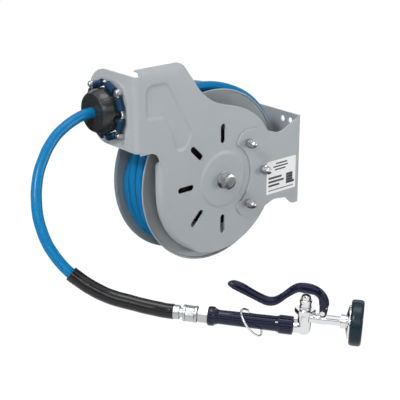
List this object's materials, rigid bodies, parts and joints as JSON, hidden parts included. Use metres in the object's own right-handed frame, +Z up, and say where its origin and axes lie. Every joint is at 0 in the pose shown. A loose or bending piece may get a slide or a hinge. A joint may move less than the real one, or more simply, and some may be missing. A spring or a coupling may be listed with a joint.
{
  "type": "water hose reel",
  "caption": "Open wall-mounted spring-rewind hose reel with a stamped side arm, roller guide, bumper ball, wound hose and a lever spray valve.",
  "frame": {"origin": "centre of the wall plate's bolt holes, on the plate's back face, which lies against the wall", "axes": "+Y into the wall, +Z up, +X along the axle toward the side arm; the reel and its hose guide stand out toward -Y"},
  "size_m": [0.5561, 0.5425, 0.3634],
  "materials": {
    "grey_frame": "light grey textured powder coat",
    "grey_drum": "light grey powder coat",
    "black_coat": "black coated spring housing",
    "zinc": "zinc-plated steel",
    "steel": "plain steel",
    "spring_steel": "blued spring steel",
    "brass": "machined brass",
    "bronze": "sintered bronze bearing",
    "seal_rubber": "black nitrile seal",
    "hose_blue": "smooth blue wash-down hose cover",
    "sleeve_black": "glossy black bend-protection sleeve",
    "wire_zinc": "bright zinc wire",
    "roller_blue": "blue moulded nylon",
    "bumper_rubber": "dark grey moulded rubber",
    "chrome": "polished chrome plate",
    "navy_plastic": "navy coated grip and lever",
    "face_plastic": "dark perforated spray face",
    "ring_rubber": "blue-grey moulded rubber ring",
    "fitting_grey": "dull plated steel fitting"
  },
  "bodies": {
    "frame": {"mounting_bracket": "grey_frame", "side_arm": "grey_frame", "bracket_bolts": "zinc", "bracket_nuts": "zinc", "cap_nuts": "zinc", "axle_washers": "zinc", "axle_jam_nut": "zinc", "axle_end_nut": "zinc", "inlet_lock_nut": "zinc", "guide_screws": "zinc", "bumper_screws": "zinc", "guide_clips": "zinc", "axle_shaft": "steel", "spring_arbor": "steel", "arbor_pin": "steel", "pawl_pin": "steel", "main_spring": "spring_steel", "pawl_spring": "spring_steel", "hose_lead": "hose_blue", "hose_free": "hose_blue", "hose_sleeve": "sleeve_black", "guide_ring": "wire_zinc", "bumper_half_lower": "bumper_rubber", "bumper_half_upper": "bumper_rubber", "valve_body": "chrome", "valve_bonnet": "chrome", "lever_pin": "chrome", "spray_head": "chrome", "grip": "navy_plastic", "spray_face": "face_plastic", "head_ring": "ring_rubber", "grip_tube": "fitting_grey", "hose_ferrule": "fitting_grey"},
    "drum": {"swivel_hub": "brass", "hub_bushings": "bronze", "hub_seals": "seal_rubber", "hub_screws": "zinc", "drum_core": "grey_drum", "near_flange": "grey_drum", "far_flange": "grey_drum", "outlet_elbow": "brass", "spring_case": "black_coat", "drum_rivets": "zinc", "spring_cover": "black_coat", "ratchet_ring": "steel", "hose_inner_layers": "hose_blue", "hose_winding": "hose_blue"},
    "lever": {"lever": "navy_plastic"},
    "valve_stem": {"valve_stem": "chrome"},
    "hold_ring": {"hold_ring": "chrome"},
    "coupling_nut": {"coupling_nut": "fitting_grey"},
    "pawl": {"pawl": "steel"},
    "guide_roller_1": {"guide_roller_1": "roller_blue"},
    "guide_roller_2": {"guide_roller_2": "roller_blue"},
    "guide_roller_3": {"guide_roller_3": "roller_blue"},
    "guide_roller_4": {"guide_roller_4": "roller_blue"},
    "guide_roller_5": {"guide_roller_5": "roller_blue"},
    "guide_roller_6": {"guide_roller_6": "roller_blue"},
    "guide_roller_7": {"guide_roller_7": "roller_blue"},
    "guide_roller_8": {"guide_roller_8": "roller_blue"}
  },
  "joints": [
    {"name": "drum_spin", "type": "hinge", "parent": "frame", "child": "drum", "pos_m": [0, -0.181, 0], "axis": [1, 0, 0], "continuous": true},
    {"name": "pawl_swing", "type": "hinge", "parent": "frame", "child": "pawl", "pos_m": [0.062, -0.12071, 0.02685], "axis": [1, 0, 0], "range_deg": [0, 12], "stiffness_Nm_per_rad": 0.02},
    {"name": "lever_swing", "type": "hinge", "parent": "frame", "child": "lever", "pos_m": [0.38686, -0.26442, -0.10251], "axis": [0.6408, -0.7677, 0], "range_deg": [0, 9], "stiffness_Nm_per_rad": 4, "springref_deg": -5.73},
    {"name": "stem_slide", "type": "slide", "parent": "frame", "child": "valve_stem", "axis": [-0.0335, -0.028, -0.999], "range_m": [0, 0.0044]},
    {"name": "hold_ring_slide", "type": "slide", "parent": "frame", "child": "hold_ring", "axis": [0.767, 0.6402, -0.0436], "range_m": [-0.02, 0.02]},
    {"name": "coupling_nut_spin", "type": "hinge", "parent": "frame", "child": "coupling_nut", "pos_m": [0.2328, -0.393, -0.12278], "axis": [0.767, 0.6402, -0.0436], "continuous": true},
    {"name": "guide_roller_1_spin", "type": "hinge", "parent": "frame", "child": "guide_roller_1", "pos_m": [0.03773, -0.3685, 0.15596], "axis": [-0.3827, 0, 0.9239], "continuous": true},
    {"name": "guide_roller_2_spin", "type": "hinge", "parent": "frame", "child": "guide_roller_2", "pos_m": [0.01446, -0.3685, 0.17923], "axis": [-0.9239, 0, 0.3827], "continuous": true},
    {"name": "guide_roller_3_spin", "type": "hinge", "parent": "frame", "child": "guide_roller_3", "pos_m": [-0.01845, -0.3685, 0.17923], "axis": [-0.9239, 0, -0.3827], "continuous": true},
    {"name": "guide_roller_4_spin", "type": "hinge", "parent": "frame", "child": "guide_roller_4", "pos_m": [-0.04173, -0.3685, 0.15596], "axis": [-0.3827, 0, -0.9239], "continuous": true},
    {"name": "guide_roller_5_spin", "type": "hinge", "parent": "frame", "child": "guide_roller_5", "pos_m": [-0.04173, -0.3685, 0.12305], "axis": [0.3827, 0, -0.9239], "continuous": true},
    {"name": "guide_roller_6_spin", "type": "hinge", "parent": "frame", "child": "guide_roller_6", "pos_m": [-0.01845, -0.3685, 0.09977], "axis": [0.9239, 0, -0.3827], "continuous": true},
    {"name": "guide_roller_7_spin", "type": "hinge", "parent": "frame", "child": "guide_roller_7", "pos_m": [0.01446, -0.3685, 0.09977], "axis": [0.9239, 0, 0.3827], "continuous": true},
    {"name": "guide_roller_8_spin", "type": "hinge", "parent": "frame", "child": "guide_roller_8", "pos_m": [0.03773, -0.3685, 0.12305], "axis": [0.3827, 0, 0.9239], "continuous": true}
  ],
  "couplings": [
    {"joint": "stem_slide", "follows": "lever_swing", "m_per_rad": 0.0262}
  ]
}
